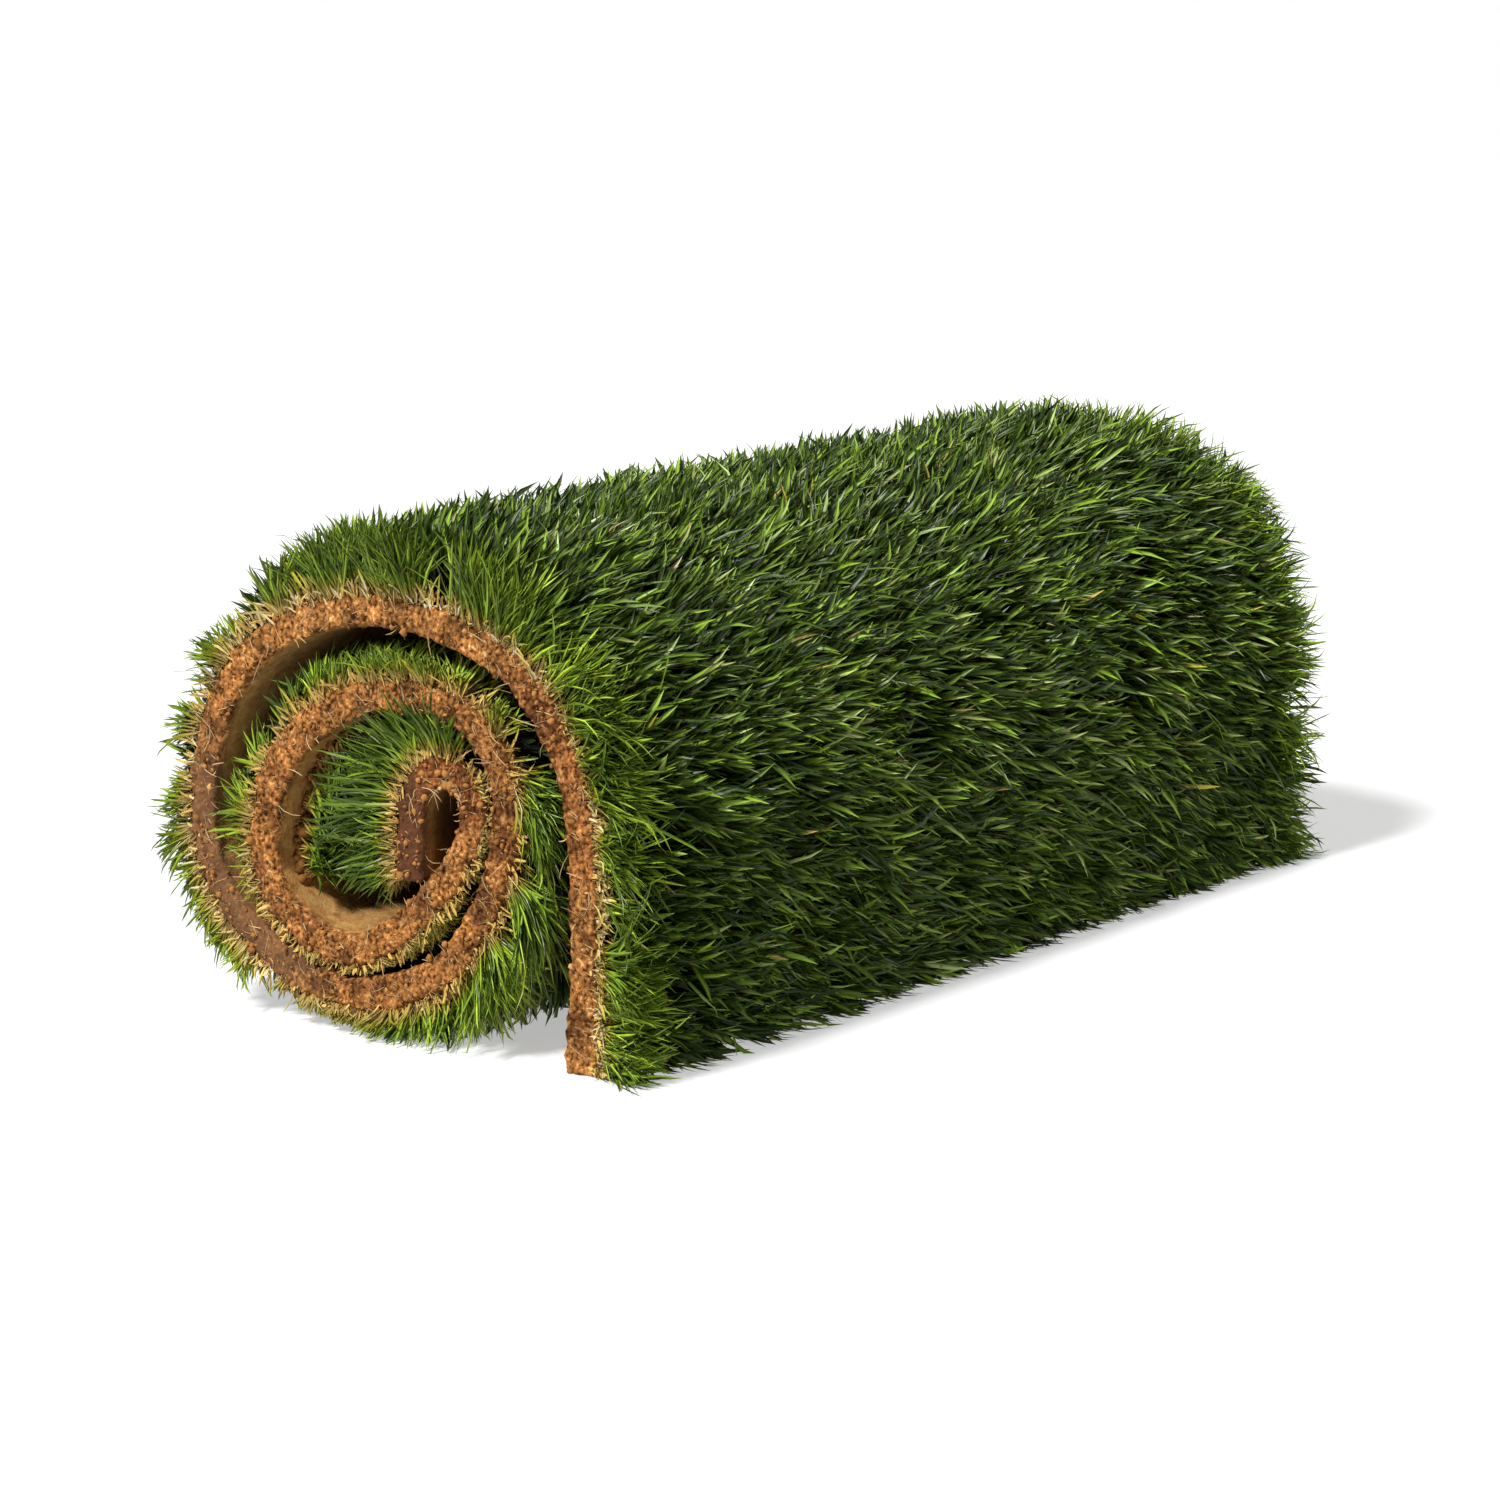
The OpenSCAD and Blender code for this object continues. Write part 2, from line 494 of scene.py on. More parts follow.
def crumb_material(soil):
    """Loose crumbs: from the pits' brown to pale grains, by tint."""
    dark, mid, pale = tones(soil, "pit", "mid", "pale")

    def colours(made, tint, height, across):
        return made.ramp(tint, (0.0, dark), (0.4, mid * 0.85), (0.8, mid * 1.15), (1.0, pale))

    return painted_material("soil_crumbs", colours, 0.95, 0.15, 0.0)


# Soil


def steps_from_ends(half, count, crowding):
    """Places from -half to half, crowded towards both ends along a hyperbolic tangent."""
    return half * np.tanh(crowding * np.linspace(-1, 1, count)) / np.tanh(crowding)


def block_faces(counts):
    """Closed skin of a block of grid points: six grids of quads that face outwards, seams merged.

    Each grid holds one of the three counters at its lowest or highest value. Returns the counters
    of the skin's points and the quads."""
    corners, faces = [], []
    for axis in range(3):
        first, second = (a for a in range(3) if a != axis)
        rows, columns = counts[first], counts[second]
        for level in (0, counts[axis] - 1):
            index = np.empty((rows, columns, 3), int)
            index[..., axis] = level
            index[..., first] = np.arange(rows)[:, None]
            index[..., second] = np.arange(columns)
            quads = grid_faces(rows, columns, first=sum(map(len, corners)))
            turned = (axis == 1) == (level == 0)
            faces.append(quads[:, ::-1] if turned else quads)
            corners.append(index.reshape(-1, 3))
    index, merged = np.unique(np.concatenate(corners), axis=0, return_inverse=True)
    return index, merged.ravel()[np.concatenate(faces)]


def soil_points(soil, s, y, h):
    """Places of the soil's skin: the plain band pushed in and out by clods and lumps.

    A point moves along the roll near the cut ends and across the band near its two faces, so that
    edges crumble both ways. The knife-cut face stays nearly smooth, and the flap's foot is
    squashed wider."""
    plain = place(s, y, h)
    _, _, out = frame_at(s)
    depth = -h / SOIL_T
    edge = 1.6 * MM
    to_grass = 1 - ease(0, edge, -h)
    to_face = 1 - ease(0, edge, SOIL_T + h)
    to_end = np.sign(y) * (1 - ease(0, edge, HALF_W - abs(y)))
    near_end = 1 - ease(2 * MM, 14 * MM, HALF_W - abs(y))
    rough = (
        soil.clod_relief * (0.5 - clods(plain, 7.5 * MM, 5))
        + 0.55 * soil.clod_relief * (0.5 - clods(plain, 3.6 * MM, 11))
        + 0.25 * soil.clod_relief * lumps(plain, 2 * MM, 21)
    )
    sway = soil.sway * lumps(plain, 38 * MM, 31)
    bite = 1.4 * MM * lumps(plain * (1, 0.4, 1), 9 * MM, 41)
    face_rough = rough * (0.22 + 0.5 * near_end) + 0.5 * bite * near_end
    flare = soil.foot_flare * (1 - ease(0, 45 * MM, s)) * depth
    across = to_grass * (rough + bite) - to_face * face_rough
    rounding = 0.7 * MM * abs(to_end)
    across = across - rounding * to_grass + rounding * to_face + sway - flare
    along = to_end * (rough + 0.5 * bite) - np.sign(to_end) * rounding * np.maximum(to_grass, to_face)
    moved = plain + out * across[:, None]
    moved[:, 1] += along
    moved[:, 2] = np.maximum(moved[:, 2], SOIL_GAP)
    return moved


def soil_layers(s, y, h):
    """How much of each finish a point shows, from 0 to 1, by smooth steps along, across and in.

    The finishes are the knife-cut face, a dry smear on the outer turn and the hook, painted shade, near
    black, on the grass side under the blades and inside the hook, and dusk, a darker brown on parts of
    the cut ends."""
    at_face = 1 - ease(0.2 * MM, 1.6 * MM, SOIL_T + h)
    from_end = HALF_W - abs(y)
    inside = ease(1.5 * MM, 9 * MM, from_end)
    turn = s / STRIP_L
    smear = ease(0.31, 0.34, turn) * (1 - ease(0.42, 0.46, turn))
    smear = smear + ease(STRIP_L - 0.07, STRIP_L - 0.05, s)
    # Painted shade: on the grass side under the blades, away from the cut ends, and inside the hook
    grass_side_shade = (1 - ease(0.4 * MM, 2 * MM, -h)) * ease(3 * MM, 9 * MM, from_end)
    hook = 0.85 * ease(STRIP_L - 0.13, STRIP_L - 0.1, s) * ease(1 * MM, 16 * MM, from_end)
    dusk = 0.6 * ease(0.04, 0.08, turn) * (1 - ease(0.13, 0.17, turn)) + 0.35 * ease(0.25, 0.3, turn)
    dusk = dusk + 0.85 * ease(0.9, 0.93, turn)
    return {
        "knife_face": at_face * inside,
        "dry_smear": smear * (1 - inside),
        "painted_shade": np.maximum(grass_side_shade, hook * at_face),
        "dusk": np.clip(dusk, 0, 1) * (1 - inside),
    }


# Blades, fibres and crumbs


def grow(s, y, h, length, lean, lean_tip, turn, swerve, width, twist, tint, pieces=3, canopy=None):
    """Tapered ribbons that stand on the strip and bend over.

    A ribbon leans from the surface's normal by an angle that grows evenly from lean to lean_tip,
    towards turn, an angle in the surface from +Y to the strip's own direction, which itself grows
    by swerve. Summing steps in that direction, shorter towards the tip, gives its middle line. Its
    width holds for most of its length and then runs out to a blunt point, and twist turns it about
    its middle line. It is painted by its height over the surface, as a share of the canopy's
    height where one is given."""
    count = len(s)
    _, along, out = frame_at(s)
    root = place(s, y, h)
    ends = 1 - (1 - np.arange(pieces + 1) / pieces) ** TIP_CROWDING
    ring, share, piece = ends[:-1], (ends[:-1] + ends[1:]) / 2, np.diff(ends)

    def heading(at):
        """The ribbon's direction at shares of its length, and the normal of its broad side."""
        bend = lean[:, None] + (lean_tip - lean)[:, None] * at
        way = turn[:, None] + swerve[:, None] * at
        flat = np.cos(way)[..., None] * np.array([0, 1, 0]) + np.sin(way)[..., None] * along[:, None]
        bend = bend[..., None]
        ahead = np.cos(bend) * out[:, None] + np.sin(bend) * flat
        front = np.sin(bend) * out[:, None] - np.cos(bend) * flat
        return ahead, front

    step, _ = heading(share)
    middle = root[:, None] + np.concatenate(
        [np.zeros((count, 1, 3)), np.cumsum(step * (length[:, None] * piece)[..., None], 1)], 1
    )
    ahead, front = heading(ring)
    side = np.cross(ahead, front)
    side = np.cos(twist)[:, None, None] * side + np.sin(twist)[:, None, None] * front
    taper = np.sqrt(1 - ring**4) * (0.75 + 0.25 * np.minimum(ring / 0.3, 1))
    reach = side * (width[:, None] * taper)[..., None] / 2
    rings = np.stack([middle[:, :-1] - reach, middle[:, :-1] + reach], 2).reshape(count, -1, 3)
    points = np.concatenate([rings, middle[:, -1:]], 1)

    at = np.arange(pieces - 1) * 2
    pairs = np.stack([at, at + 1, at + 3, at, at + 3, at + 2], 1).reshape(-1, 3)
    last = 2 * (pieces - 1)
    one = np.concatenate([pairs, [[last, last + 1, last + 2]]])
    faces = (np.arange(count)[:, None, None] * (2 * pieces + 1) + one).reshape(-1, 3)

    across = np.append(np.tile(EDGES, pieces), 0.5)
    rise = np.cos(lean[:, None] + (lean_tip - lean)[:, None] * share) * length[:, None] * piece
    height = np.concatenate([np.zeros((count, 1)), np.cumsum(abs(rise), 1)], 1)
    if canopy is not None:
        height = height * (CANOPY / np.maximum(canopy, LOWEST_CANOPY))[:, None]
    height = height[:, np.append(np.repeat(np.arange(pieces), 2), pieces)]
    column = (np.floor(tint * (TINTS - 1) + 0.5)[:, None] + across) / TINTS
    row = np.minimum(on_map(height), MAP_TOP)
    return drawn_in(points.reshape(-1, 3)), faces, np.stack([column, row], -1).reshape(-1, 2)


def drawn_in(points):
    """Points within reach of the roll: what stands far out of the CAD box is drawn in towards it.

    The overshoot past a side is squeezed along a hyperbolic tangent, and nothing dips under the
    floor."""
    for axis, most in enumerate(OVERHANG):
        side = CAD_BOX[1][axis]
        beyond = np.maximum(abs(points[:, axis]) - side, 0)
        inner = np.minimum(abs(points[:, axis]), side)
        points[:, axis] = np.sign(points[:, axis]) * (inner + most * np.tanh(beyond / most))
    points[:, 2] = np.maximum(points[:, 2], FLOOR_GAP)
    return points


def tufts(rng, count, s_range, y_range, spacing):
    """Roots in tufts: each blade's place, its offset from its tuft in spacings, and its tuft."""
    s_low, s_high = s_range
    y_low, y_high = y_range
    number = max(1, int((s_high - s_low) * (y_high - y_low) / spacing**2))
    home = np.stack([rng.uniform(s_low, s_high, number), rng.uniform(y_low, y_high, number)], 1)
    which = rng.integers(0, number, count)
    offset = rng.normal(0, 0.32, (count, 2))
    at = home[which] + offset * spacing
    s = np.clip(at[:, 0], max(s_low, 0), min(s_high, STRIP_L))
    y = np.clip(at[:, 1], y_low, y_high)
    return s, y, offset, which, number


def combed(grass, s, y):
    """Tip lean of the sward's nap, as (along Y, along the strip) angles.

    The nap leans along the roll and sags under its own weight, stands up and out at the near end,
    falls over at the far end, and hangs down on the underside."""
    spot = np.stack([s, y, np.zeros(len(s))], 1)
    _, along, _ = frame_at(s)
    way = radians(26) * lumps(spot, 60 * MM, 3) + radians(4) - radians(26) * along[:, 2]
    far = ease(HALF_W - 70 * MM, HALF_W, y)
    way = way - radians(42) * ease(0.08, 0.22, y) * (1 - 0.8 * far) * (1 - ease(0.2, 0.42, s))
    lean = grass.nap + radians(10) * lumps(spot, 36 * MM, 4)
    lean = lean - radians(8) * (1 - ease(0.12, 0.22, s)) - radians(12) * far
    near = 1 - ease(-2 * MM, 55 * MM, y + HALF_W)
    lean = lean * (1 - 0.65 * near)
    nap = np.stack([lean * np.cos(way), lean * np.sin(way)], 1)
    inner = ease(0.82, 0.84, s)
    nap[:, 0] -= radians(16) * near * (1 - 1.6 * inner)
    hang = ease(0.38, 0.62, s) * (1 - inner)
    nap[:, 0] *= 1 - 0.8 * hang
    nap[:, 1] -= radians(48) * along[:, 2] * hang
    return nap


def rim_tint(shade):
    """The tint of a rim blade, from a shade between 0, dark, and 1, light."""
    return RIM_TINTS + 0.01 + shade * (0.99 - RIM_TINTS)


def sward(grass, seed, count, s_range, y_range, rim=False):
    """Blades of a stretch of the sward, in tufts, mown to one height or as tall as they have room.

    A blade that bends from lean to lean_tip rises by about the cosine of the lean halfway, so its
    length is its height over that cosine. Rim blades are finer and stand less in line."""
    rng = np.random.default_rng(seed)
    s, y, offset, which, number = tufts(rng, count, s_range, y_range, grass.tuft_spacing)
    nap = combed(grass, s, y) + rng.normal(0, radians(14), (number, 2))[which]
    nap = nap + radians(30) * offset[:, ::-1] + rng.normal(0, radians(20 if rim else 11), (count, 2))
    lean_tip = np.linalg.norm(nap, axis=1)
    turn = np.arctan2(nap[:, 1], nap[:, 0])
    room = room_at(s)
    squeeze = np.clip(room / ROOM[0], 0.05, 1)
    lean_tip = np.minimum(lean_tip + (1 - squeeze) * radians(30), FLATTEST)
    lean = lean_tip * (0.35 + 0.5 * (1 - squeeze)) + rng.normal(0, radians(6), count)
    upward = np.cos((lean + lean_tip) / 2)

    # Taller over the crest and at the far end, lower down the left side and between the turns
    left = ease(0.32, 0.38, s) * (1 - ease(0.6, 0.66, s))
    far = ease(HALF_W - 60 * MM, HALF_W, y) * (1 - ease(0.2, 0.3, s))
    inner = ease(0.82, 0.84, s)
    crest = ease(0.16, 0.24, s) * (1 - ease(0.36, 0.42, s)) * (1 - far)
    canopy = 1.08 + 0.1 * crest - 0.56 * left + 0.3 * far - 0.2 * inner
    canopy = np.minimum(grass.mown_height, room) * canopy
    height = canopy * rng.uniform(0.72, 1.0, number)[which] * rng.beta(3.2, 1.1, count)
    odd = rng.random(count)
    height = np.where(odd > 0.998, 1.1 * height, height)
    length = np.maximum(height / np.maximum(upward, 0.6), 6 * MM).clip(0, PAINT_LENGTH)

    patch = 0.14 * lumps(np.stack([s, y, np.zeros(count)], 1), 24 * MM, 9)
    shade = rng.normal(0, 0.1, number)[which] + patch + rng.beta(1.0, 1.3, count)
    shade = np.clip(shade, 0, 1)
    tint = np.where(odd < grass.dry_share, rng.uniform(0.9, 0.98, count), shade * 0.88) * RIM_TINTS
    if rim:
        tint = rim_tint(shade)
    width = grass.blade_width * rng.uniform(0.6, 1.15, count) * (0.52 if rim else 1)
    return grow(
        s, y, rng.uniform(-1.5, 0.5, count) * MM, length, lean, lean_tip, turn,
        rng.normal(0, radians(30), count), width, rng.normal(0, radians(40), count), tint,
        canopy=None if rim else canopy,
    )


ICO_FACES = np.array([
    (0, 11, 5), (0, 5, 1), (0, 1, 7), (0, 7, 10), (0, 10, 11), (1, 5, 9), (5, 11, 4), (11, 10, 2),
    (10, 7, 6), (7, 1, 8), (3, 9, 4), (3, 4, 2), (3, 2, 6), (3, 6, 8), (3, 8, 9), (4, 9, 5),
    (2, 4, 11), (6, 2, 10), (8, 6, 7), (9, 8, 1),
])


def ball_corners():
    """The twelve corners of a regular solid with twenty faces, at distance 1: golden rectangles."""
    golden = (1 + 5**0.5) / 2
    corners = []
    for turn in range(3):
        for a, b in ((-1, golden), (1, golden), (-1, -golden), (1, -golden)):
            corners.append(np.roll([a, b, 0], turn))
    return np.array(corners) / np.hypot(1, golden)


def crumbs(rng, count, end, wall=None, depth=0.0, large=1.0):
    """Lumps of soil stuck to a cut end: twenty-sided balls, each squashed and turned at random.

    With a wall given, as a range of s, they stick to the knife-cut face there instead, down to a
    depth from the end."""
    s = rng.uniform(*(wall or (0, STRIP_L)), count)
    h = -rng.uniform(0.02, 0.98, count) * SOIL_T
    size = rng.gamma(3.0, 0.27 * MM * large, count).clip(0.3 * MM, 2.2 * MM * large)
    y = end * (HALF_W + rng.normal(0.2, 0.6, count) * MM)
    if wall:
        middle, half = sum(wall) / 2, (wall[1] - wall[0]) / 2
        ragged = 1 - ((s - middle) / half) ** 2
        h = -SOIL_T - rng.uniform(-0.5, 1, count) * 4 * MM * ragged
        y = end * (HALF_W - 14 * MM - rng.uniform(0, 1, count) * depth * (0.4 + 0.6 * ragged))
    ball = ball_corners() * (1 + 0.22 * rng.normal(0, 1, (count, 12, 1)).clip(-1.5, 1.5))
    ball = ball * (size[:, None] * rng.uniform(0.7, 1.3, (count, 3)))[:, None]
    points = place(s, y, h)[:, None] + ball
    faces = np.arange(count)[:, None, None] * 12 + ICO_FACES
    tint = rng.beta(2.2, 2.4, count) * (0.5 if wall else 1.0)
    column = (np.floor(tint * (TINTS - 1) + 0.5) + 0.5) / TINTS
    paint = np.stack([column, np.full(count, 0.5)], 1).repeat(12, 0)
    points = points.reshape(-1, 3)
    points[:, 2] = np.maximum(points[:, 2], SOIL_GAP)
    return points, faces.reshape(-1, 3), paint


def pocket_blades(grass, rng, count, s_range, end, h, way_out):
    """Long loose blades on a wall of the pocket, as ribbons that droop.

    They stand towards the grass side where way_out is 1, and away from it where it is -1."""
    s = rng.uniform(*s_range, count)
    y = end * (HALF_W - rng.uniform(0, 60 * MM, count) * rng.random(count))
    if way_out < 0:
        y = end * (HALF_W - rng.uniform(14 * MM, 46 * MM, count))
    nap = rng.normal(0, radians(24), (count, 2))
    nap[:, 0] += end * radians(12)
    _, along, _ = frame_at(s)
    nap[:, 1] -= radians(24) * along[:, 2]
    lean_tip = np.linalg.norm(nap, axis=1)
    lean = 0.35 * lean_tip
    if way_out < 0:
        lean, lean_tip = np.pi - lean, np.pi - lean_tip
    length = rng.uniform(0.55, 1.0, count) * (50 * MM if way_out > 0 else 30 * MM)
    if way_out > 0:
        length = np.minimum(length, 1.9 * room_at(s))
    # Mostly dark tints: painted shade in the pocket
    shade = 0.8 * rng.beta(1.1, 2.6, count)
    return grow(
        s, y, np.full(count, float(h)), length, lean, lean_tip, np.arctan2(nap[:, 1], nap[:, 0]),
        rng.normal(0, radians(35), count), grass.blade_width * rng.uniform(0.3, 0.7, count),
        rng.normal(0, radians(50), count), rim_tint(shade), 4,
    )


def stems(seed, count, end):
    """Straw-coloured stem bases that fan out of the cut end along the line of soil and grass.

    They are ribbons in bunches: a sine wave along the strip draws them together every 9 mm."""
    rng = np.random.default_rng(seed)
    s = 2 * MM + (STRIP_L - 2 * MM) * rng.random(count) ** 1.5
    s = (s + 1.5 * MM * np.sin(tau * s / (9 * MM))).clip(0, STRIP_L)
    deep = rng.random(count) ** 1.7
    h = (1.0 - 6.5 * deep * rng.random(count)) * MM
    y = end * (HALF_W - rng.exponential(2.6, count).clip(0, 12) * MM + 0.6 * MM)
    outward = end * rng.normal(radians(22), radians(26), count)
    nap = np.stack([outward, rng.normal(0, radians(38), count)], 1)
    lean_tip = np.linalg.norm(nap, axis=1).clip(0, FLATTEST)
    turn = np.arctan2(nap[:, 1], nap[:, 0])
    room = room_at(s)
    length = rng.gamma(4, 2.4 * MM, count) * (1 - 0.35 * ease(0.36, 0.46, s))
    length = np.minimum(length, np.maximum(0.8 * room, 5 * MM))
    return grow(
        s, y, h, length, lean_tip * rng.uniform(0.2, 0.9, count), lean_tip, turn,
        rng.normal(0, radians(60), count), rng.uniform(0.6, 1.7, count) * MM,
        # Tints darker past 0.5 m along the strip, down the left side, under the roll and inward:
        # painted shade
        rng.normal(0, radians(50), count), rng.beta(2.2, 1.6, count) * (1 - 0.6 * ease(0.5, 0.7, s)),
    )


def fibres(rng, count, end):
    """Fine roots that lie over the cut end, or hang from its edge, in loose curves."""
    s = rng.uniform(0, STRIP_L, count)
    h = -rng.uniform(0.0, 0.95, count) * SOIL_T
    y = end * (HALF_W + rng.uniform(-0.3, 1.2, count) * MM)
    across = rng.choice([-1, 1], count)
    lean = np.pi / 2 + across * rng.uniform(0.2, 1.4, count)
    turn = rng.choice([-1, 1], count) * np.pi / 2 + end * rng.normal(0.05, 0.22, count)
    return grow(
        s, y, h, rng.gamma(3.5, 2.2 * MM, count).clip(3 * MM, 18 * MM), lean,
        lean + rng.normal(0, 0.8, count), turn, end * rng.normal(0, 0.25, count),
        rng.uniform(0.25, 0.6, count) * MM, rng.uniform(-1.5, 1.5, count), rng.beta(2, 1.5, count), 4,
    )


# Settings


def size_mm(name, text, default, low, high):
    """A length setting in metres, given in millimetres."""
    return FloatProperty(
        name=name, description=text, default=default * MM, min=low * MM, max=high * MM,
        precision=5, unit="LENGTH",
    )


def colour(name, text, default):
    """A colour setting, as red, green and blue from 0 to 1."""
    return FloatVectorProperty(
        name=name, description=text, default=default, min=0, max=1, subtype="COLOR",
    )


class TurfSoilSettings(bpy.types.PropertyGroup):
    """Sizes and colours of the soil, its crumbs and its roots."""

    clod_relief: size_mm("Clod relief", "How far clods stand out of a torn face", 2.3, 0, 4)
    sway: size_mm("Sway", "How far the whole band wanders from its plain course", 1.4, 0, 3)
    foot_flare: size_mm("Foot flare", "How much the flap's foot is squashed wider", 3.0, 0, 6)
    crumb_count: IntProperty(
        name="Crumbs", description="Loose crumbs on each cut end", default=1200, min=0, max=3000,
    )
    fibre_count: IntProperty(
        name="Roots", description="Fine roots on each cut end", default=900, min=0, max=3000,
    )
    pit_colour: colour("Pits", "Dark soil in the pits", (0.075, 0.028, 0.005))
    mid_colour: colour("Soil", "Middle brown of the soil", (0.40, 0.176, 0.048))
    pale_colour: colour("Grains", "Pale grains and dry crumbs", (0.76, 0.49, 0.19))
    smear_colour: colour("Smear", "Dry brown smear on the outer turn", (0.17, 0.09, 0.044))
    root_colour: colour("Roots", "Fine roots", (0.62, 0.42, 0.2))


class TurfGrassSettings(bpy.types.PropertyGroup):
    """Sizes and colours of the grass."""

    mown_height: size_mm("Mown height", "Height of the grass over the soil", 38, 15, 50)
    blade_width: size_mm("Blade width", "Width of a broad blade", 3.0, 0.5, 5)
    tuft_spacing: size_mm("Tuft spacing", "Distance from tuft to tuft", 8, 3, 20)
    nap: FloatProperty(
        name="Nap", description="Lean of the blade tips from upright",
        default=radians(40), min=0, max=FLATTEST, subtype="ANGLE",
    )
    dry_share: FloatProperty(
        name="Dry blades", description="Share of pale, yellow or dead blades",
        default=0.006, min=0, max=0.5, subtype="FACTOR",
    )
    deep_colour: colour("Deep green", "Old blades", (0.044, 0.090, 0.006))
    fresh_colour: colour("Fresh green", "Young blades", (0.165, 0.27, 0.022))
    lime_colour: colour("Lime", "Yellow-green over the stem bases", (0.56, 0.52, 0.03))
    straw_colour: colour("Straw", "Stem bases", (0.78, 0.56, 0.17))
    dead_colour: colour("Dead", "Dead blades", (0.36, 0.25, 0.10))


class TurfStageSettings(bpy.types.PropertyGroup):
    """The studio round the roll."""

    camera_turn: FloatProperty(
        name="Camera turn", description="Turn of the camera round the roll, from the cut end",
        default=radians(35.64), subtype="ANGLE",
    )
    camera_rise: FloatProperty(
        name="Camera rise", description="Height of the camera as an angle over the floor",
        default=radians(10.97), subtype="ANGLE",
    )
    camera_distance: FloatProperty(
        name="Camera distance", description="From the aim to the camera", default=2.413, unit="LENGTH",
    )
    lens: FloatProperty(
        name="Lens", description="Focal length of the camera", default=109.27, min=20, max=300,
        unit="CAMERA",
    )
    key_turn: FloatProperty(
        name="Key light turn", description="Turn of the main light round the roll, from the cut end",
        default=radians(-8), subtype="ANGLE",
    )
    key_rise: FloatProperty(
        name="Key light rise", description="Height of the main light as an angle over the floor",
        default=radians(51), subtype="ANGLE",
    )
    floor_colour: colour("Floor", "The pale floor", (0.56, 0.56, 0.56))


# Operators


# Stems, blades and crumbs at each end
STEMS = 2800
RIM_BLADES = 9500
INNER_BLADES = 6000
INNER_RIM_BLADES = 4800
HOOK_BLADES = 1100
CLUMP_BLADES = 800
CLUMP_CRUMBS = 700


class TURF_OT_soil_mat(bpy.types.Operator):
    """Make the root-bound soil: one closed band with crumbly cut ends"""

    bl_idname = "turf.soil_mat"
    bl_label = "Soil mat"
    bl_options = {"REGISTER", "UNDO"}

    def execute(self, context):
        soil = context.scene.turf_soil
        s_steps = np.linspace(0, STRIP_L, SOIL_POINTS[0])
        h_steps = np.linspace(0, SOIL_T, SOIL_POINTS[1]) - SOIL_T
        y_steps = steps_from_ends(HALF_W, SOIL_POINTS[2], crowding=2.7)
        index, faces = block_faces((len(s_steps), len(h_steps), len(y_steps)))
        s, h, y = s_steps[index[:, 0]], h_steps[index[:, 1]], y_steps[index[:, 2]]
        add_piece(
            "soil_mat_crumbly", soil_points(soil, s, y, h), faces, soil_material(soil),
            "soil_mat", layers=soil_layers(s, y, h),
        )
        return {"FINISHED"}


class TURF_OT_soil_trim(bpy.types.Operator):
    """Strew crumbs and fine roots over both cut ends"""

    bl_idname = "turf.soil_trim"
    bl_label = "Crumbs and roots"
    bl_options = {"REGISTER", "UNDO"}

    def execute(self, context):
        soil = context.scene.turf_soil
        rng = np.random.default_rng(17)
        parts = [crumbs(rng, soil.crumb_count, end) for end in ENDS]
        add_painted("soil_crumbs", parts, crumb_material(soil), "soil_mat")
        parts = [fibres(rng, soil.fibre_count, end) for end in ENDS]
        add_painted("root_fibres", parts, root_material(soil), "soil_mat")
        return {"FINISHED"}


class TURF_OT_stems(bpy.types.Operator):
    """Fan straw-coloured stem bases out of both cut ends"""

    bl_idname = "turf.stems"
    bl_label = "Stem bases"
    bl_options = {"REGISTER", "UNDO"}

    def execute(self, context):
        grass = context.scene.turf_grass
        parts = [stems(23 + end, STEMS, end) for end in ENDS]
        add_painted("straw_stems", parts, straw_material(grass), "grass_sward")
        return {"FINISHED"}


# Stretches of the outer sward: name, seed, where it starts and ends along the strip, and blades
OUTER_STRETCHES = (
    ("blades_flap", 101, 0.000, 0.150, 22500),
    ("blades_shoulder", 102, 0.150, 0.290, 20500),
    ("blades_crest", 103, 0.290, 0.430, 20000),
    ("blades_left", 104, 0.430, 0.560, 16000),
    ("blades_under", 105, 0.560, 0.850, 10000),
)


class TURF_OT_outer_sward(bpy.types.Operator):
    """Grow the grass on the outside of the roll, stretch by stretch, and the rims at its ends"""

    bl_idname = "turf.outer_sward"
    bl_label = "Outer sward"
    bl_options = {"REGISTER", "UNDO"}

    def execute(self, context):
        grass = context.scene.turf_grass
        green = grass_material(grass)
        within = (RIM - HALF_W, HALF_W - RIM)
        for name, seed, start, stop, count in OUTER_STRETCHES:
            parts = [sward(grass, seed, count, (start, stop), within)]
            add_painted(name, parts, green, "grass_sward")
        parts = [
            sward(grass, seed, RIM_BLADES, (0, INNER_START), rim_range, rim=True)
            for seed, rim_range in ((301, (-HALF_W, within[0])), (302, (within[1], HALF_W)))
        ]
        add_painted("blades_rim", parts, green, "grass_sward")
        return {"FINISHED"}


class TURF_OT_inner_sward(bpy.types.Operator):
    """Grow the grass between the inner turns, as deep as it can be seen from either end"""

    bl_idname = "turf.inner_sward"
    bl_label = "Inner sward"
    bl_options = {"REGISTER", "UNDO"}

    def execute(self, context):
        grass = context.scene.turf_grass
        inner = (INNER_START, STRIP_L)
        parts = []
        for k, end in enumerate(ENDS):
            seen = sorted((end * (HALF_W - RIM), end * (HALF_W - SEEN_DEPTH)))
            parts.append(sward(grass, 201 + k, INNER_BLADES, inner, seen))
            at_end = sorted((end * HALF_W, end * (HALF_W - RIM)))
            parts.append(sward(grass, 211 + k, INNER_RIM_BLADES, inner, at_end, rim=True))
        add_painted("blades_inner", parts, grass_material(grass), "grass_sward")
        return {"FINISHED"}


